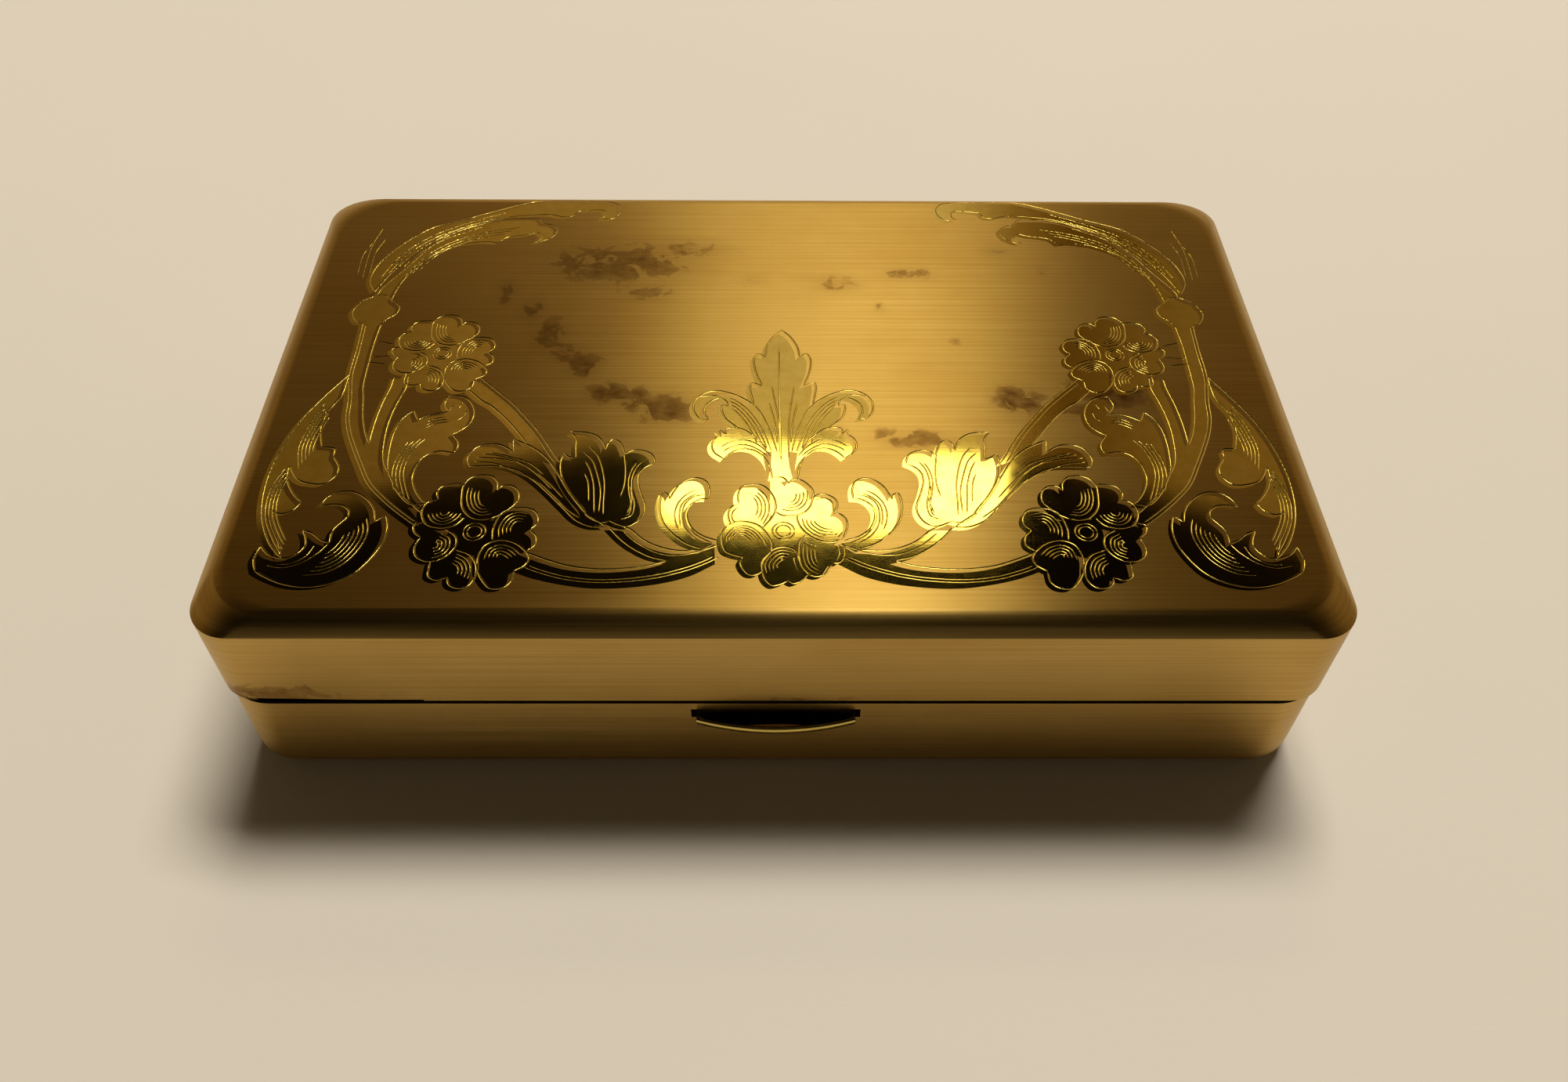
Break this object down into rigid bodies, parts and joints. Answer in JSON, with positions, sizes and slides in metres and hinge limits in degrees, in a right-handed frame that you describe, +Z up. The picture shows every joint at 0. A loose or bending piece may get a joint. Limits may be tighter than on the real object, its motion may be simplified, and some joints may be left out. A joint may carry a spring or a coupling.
{
  "type": "needle case",
  "caption": "Flat rectangular hinged brass case with a thumb catch, engraved floral lid, felt needle pad in the base and a padded lining with an elastic band in the lid.",
  "frame": {"origin": "middle of the underside of the closed case", "axes": "+X to the right along the front edge, +Y back to the hinge, +Z up out of the lid"},
  "size_m": [0.096, 0.0628, 0.0213],
  "materials": {
    "brushed_brass": "horizontally brushed, lacquered, with engraved and polished scrollwork on the lid",
    "inner_brass": "plain rolled sheet, dull",
    "spring_steel": "bright drawn",
    "felt": "dense wool felt",
    "lining_card": "stiff pressed card",
    "satin": "woven satin over wadding",
    "ribbon": "woven ribbon",
    "elastic": "woven flat elastic"
  },
  "bodies": {
    "case": {"base_shell": "brushed_brass", "base_inner_rim": "inner_brass", "base_hinge_leaf": "inner_brass", "hinge_pin": "spring_steel", "spring_clip_left": "inner_brass", "spring_clip_right": "inner_brass", "catch_spring": "spring_steel", "base_card": "lining_card", "needle_felt": "felt", "needle_ribbon_front": "ribbon", "needle_ribbon_rear": "ribbon"},
    "lid": {"lid_shell": "brushed_brass", "lid_hinge_leaf": "inner_brass", "lid_catch_lip": "inner_brass", "lid_inner_frame": "inner_brass", "lid_card": "lining_card", "lid_pad": "satin", "lid_elastic": "elastic", "elastic_clip_left": "inner_brass", "elastic_clip_right": "inner_brass"},
    "catch": {"catch_button": "brushed_brass"}
  },
  "joints": [
    {"name": "lid_hinge", "type": "hinge", "parent": "case", "child": "lid", "pos_m": [0, 0.0296, 0.01082], "axis": [-1, 0, 0], "range_deg": [0, 104]},
    {"name": "catch_slide", "type": "slide", "parent": "case", "child": "catch", "axis": [0, 1, 0], "range_m": [0, 0.0012], "stiffness_N_per_m": 400, "springref_m": -0.002, "deforming": ["catch_spring"]}
  ]
}
